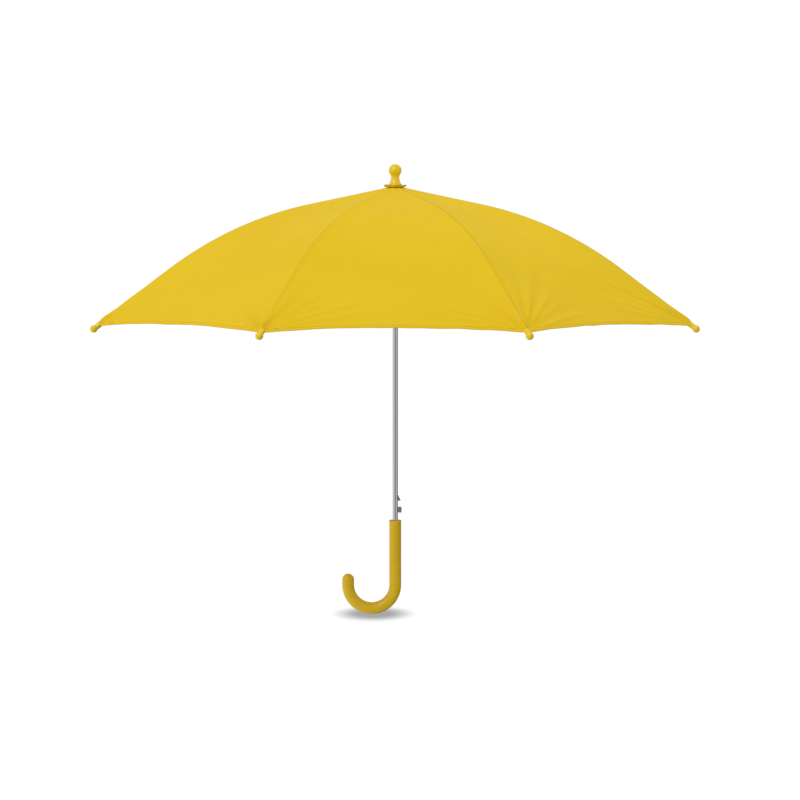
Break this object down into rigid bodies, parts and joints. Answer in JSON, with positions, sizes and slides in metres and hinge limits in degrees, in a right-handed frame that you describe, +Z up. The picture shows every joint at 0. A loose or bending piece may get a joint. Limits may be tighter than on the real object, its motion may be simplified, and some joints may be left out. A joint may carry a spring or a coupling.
{
  "type": "children's stick umbrella",
  "caption": "Children's stick umbrella with a domed fabric canopy on a folding steel frame, a sliding runner, a spring catch with release button and a J-shaped grip.",
  "frame": {"origin": "on the shaft's axis, halfway up the straight part of the grip", "axes": "+Z up the shaft towards the finial, -Y towards the viewer's side, -X towards the hook's free end, +X the side of the release button"},
  "size_m": [0.7894, 0.7894, 0.6167],
  "materials": {
    "canopy_cloth": "satin",
    "grip_plastic": "gloss",
    "tip_plastic": "gloss",
    "tube_chrome": "polished",
    "frame_steel": "satin",
    "spring_steel": "satin",
    "hub_plastic": "matte"
  },
  "bodies": {
    "root": {"shaft_tube": "tube_chrome", "handle": "grip_plastic", "finial": "tip_plastic", "top_rosette": "canopy_cloth", "crown": "hub_plastic", "crown_wire": "frame_steel", "crown_pin": "frame_steel", "crown_washer": "hub_plastic", "top_catch": "spring_steel", "bottom_catch": "spring_steel", "catch_rivets": "spring_steel"},
    "release_button": {"release_button": "spring_steel"},
    "runner": {"runner": "hub_plastic", "runner_wire": "frame_steel"},
    "rib_1": {"rib_1": "frame_steel", "rib_tip_1": "tip_plastic", "joint_rivet_1": "frame_steel", "canopy_1": "canopy_cloth"},
    "stretcher_1": {"stretcher_1": "frame_steel"},
    "rib_2": {"rib_2": "frame_steel", "rib_tip_2": "tip_plastic", "joint_rivet_2": "frame_steel", "canopy_2": "canopy_cloth"},
    "stretcher_2": {"stretcher_2": "frame_steel"},
    "rib_3": {"rib_3": "frame_steel", "rib_tip_3": "tip_plastic", "joint_rivet_3": "frame_steel", "canopy_3": "canopy_cloth"},
    "stretcher_3": {"stretcher_3": "frame_steel"},
    "rib_4": {"rib_4": "frame_steel", "rib_tip_4": "tip_plastic", "joint_rivet_4": "frame_steel", "canopy_4": "canopy_cloth"},
    "stretcher_4": {"stretcher_4": "frame_steel"},
    "rib_5": {"rib_5": "frame_steel", "rib_tip_5": "tip_plastic", "joint_rivet_5": "frame_steel", "canopy_5": "canopy_cloth", "tie_strap": "canopy_cloth", "strap_stud": "frame_steel"},
    "stretcher_5": {"stretcher_5": "frame_steel"},
    "rib_6": {"rib_6": "frame_steel", "rib_tip_6": "tip_plastic", "joint_rivet_6": "frame_steel", "canopy_6": "canopy_cloth"},
    "stretcher_6": {"stretcher_6": "frame_steel"},
    "rib_7": {"rib_7": "frame_steel", "rib_tip_7": "tip_plastic", "joint_rivet_7": "frame_steel", "canopy_7": "canopy_cloth"},
    "stretcher_7": {"stretcher_7": "frame_steel"},
    "rib_8": {"rib_8": "frame_steel", "rib_tip_8": "tip_plastic", "joint_rivet_8": "frame_steel", "canopy_8": "canopy_cloth"},
    "stretcher_8": {"stretcher_8": "frame_steel"}
  },
  "joints": [
    {"name": "canopy_fold", "type": "hinge", "parent": "root", "child": "rib_1", "pos_m": [0.00383, -0.00924, 0.4967], "axis": [0.9239, 0.3827, 0], "range_deg": [0, 64.5], "deforming": ["canopy_1", "top_catch", "bottom_catch"]},
    {"name": "stretcher_1_turn", "type": "hinge", "parent": "rib_1", "child": "stretcher_1", "pos_m": [0.0719, -0.17359, 0.45589], "axis": [0.9239, 0.3827, 0], "range_deg": [-129, 0]},
    {"name": "rib_2_fold", "type": "hinge", "parent": "root", "child": "rib_2", "pos_m": [0.00924, -0.00383, 0.4967], "axis": [0.3827, 0.9239, 0], "range_deg": [0, 64.5], "deforming": ["canopy_2"]},
    {"name": "stretcher_2_turn", "type": "hinge", "parent": "rib_2", "child": "stretcher_2", "pos_m": [0.17359, -0.0719, 0.45589], "axis": [0.3827, 0.9239, 0], "range_deg": [-129, 0]},
    {"name": "rib_3_fold", "type": "hinge", "parent": "root", "child": "rib_3", "pos_m": [0.00924, 0.00383, 0.4967], "axis": [-0.3827, 0.9239, 0], "range_deg": [0, 64.5], "deforming": ["canopy_3"]},
    {"name": "stretcher_3_turn", "type": "hinge", "parent": "rib_3", "child": "stretcher_3", "pos_m": [0.17359, 0.0719, 0.45589], "axis": [-0.3827, 0.9239, 0], "range_deg": [-129, 0]},
    {"name": "rib_4_fold", "type": "hinge", "parent": "root", "child": "rib_4", "pos_m": [0.00383, 0.00924, 0.4967], "axis": [-0.9239, 0.3827, 0], "range_deg": [0, 64.5], "deforming": ["canopy_4"]},
    {"name": "stretcher_4_turn", "type": "hinge", "parent": "rib_4", "child": "stretcher_4", "pos_m": [0.0719, 0.17359, 0.45589], "axis": [-0.9239, 0.3827, 0], "range_deg": [-129, 0]},
    {"name": "rib_5_fold", "type": "hinge", "parent": "root", "child": "rib_5", "pos_m": [-0.00383, 0.00924, 0.4967], "axis": [-0.9239, -0.3827, 0], "range_deg": [0, 64.5], "deforming": ["canopy_5", "tie_strap"]},
    {"name": "stretcher_5_turn", "type": "hinge", "parent": "rib_5", "child": "stretcher_5", "pos_m": [-0.0719, 0.17359, 0.45589], "axis": [-0.9239, -0.3827, 0], "range_deg": [-129, 0]},
    {"name": "rib_6_fold", "type": "hinge", "parent": "root", "child": "rib_6", "pos_m": [-0.00924, 0.00383, 0.4967], "axis": [-0.3827, -0.9239, 0], "range_deg": [0, 64.5], "deforming": ["canopy_6"]},
    {"name": "stretcher_6_turn", "type": "hinge", "parent": "rib_6", "child": "stretcher_6", "pos_m": [-0.17359, 0.0719, 0.45589], "axis": [-0.3827, -0.9239, 0], "range_deg": [-129, 0]},
    {"name": "rib_7_fold", "type": "hinge", "parent": "root", "child": "rib_7", "pos_m": [-0.00924, -0.00383, 0.4967], "axis": [0.3827, -0.9239, 0], "range_deg": [0, 64.5], "deforming": ["canopy_7"]},
    {"name": "stretcher_7_turn", "type": "hinge", "parent": "rib_7", "child": "stretcher_7", "pos_m": [-0.17359, -0.0719, 0.45589], "axis": [0.3827, -0.9239, 0], "range_deg": [-129, 0]},
    {"name": "rib_8_fold", "type": "hinge", "parent": "root", "child": "rib_8", "pos_m": [-0.00383, -0.00924, 0.4967], "axis": [0.9239, -0.3827, 0], "range_deg": [0, 64.5], "deforming": ["canopy_8"]},
    {"name": "stretcher_8_turn", "type": "hinge", "parent": "rib_8", "child": "stretcher_8", "pos_m": [-0.0719, -0.17359, 0.45589], "axis": [0.9239, -0.3827, 0], "range_deg": [-129, 0]},
    {"name": "runner_travel", "type": "hinge", "parent": "stretcher_1", "child": "runner", "pos_m": [0.00383, -0.00924, 0.41508], "axis": [0.9239, 0.3827, 0], "range_deg": [0, 64.5]},
    {"name": "button_press", "type": "slide", "parent": "root", "child": "release_button", "axis": [-1, 0, 0], "range_m": [0, 0.0024], "stiffness_N_per_m": 350, "springref_m": -0.003, "deforming": ["bottom_catch"]}
  ],
  "couplings": [
    {"joint": "stretcher_1_turn", "follows": "canopy_fold", "ratio": -2},
    {"joint": "rib_2_fold", "follows": "canopy_fold", "ratio": 1},
    {"joint": "stretcher_2_turn", "follows": "canopy_fold", "ratio": -2},
    {"joint": "rib_3_fold", "follows": "canopy_fold", "ratio": 1},
    {"joint": "stretcher_3_turn", "follows": "canopy_fold", "ratio": -2},
    {"joint": "rib_4_fold", "follows": "canopy_fold", "ratio": 1},
    {"joint": "stretcher_4_turn", "follows": "canopy_fold", "ratio": -2},
    {"joint": "rib_5_fold", "follows": "canopy_fold", "ratio": 1},
    {"joint": "stretcher_5_turn", "follows": "canopy_fold", "ratio": -2},
    {"joint": "rib_6_fold", "follows": "canopy_fold", "ratio": 1},
    {"joint": "stretcher_6_turn", "follows": "canopy_fold", "ratio": -2},
    {"joint": "rib_7_fold", "follows": "canopy_fold", "ratio": 1},
    {"joint": "stretcher_7_turn", "follows": "canopy_fold", "ratio": -2},
    {"joint": "rib_8_fold", "follows": "canopy_fold", "ratio": 1},
    {"joint": "stretcher_8_turn", "follows": "canopy_fold", "ratio": -2},
    {"joint": "runner_travel", "follows": "canopy_fold", "ratio": 1}
  ]
}
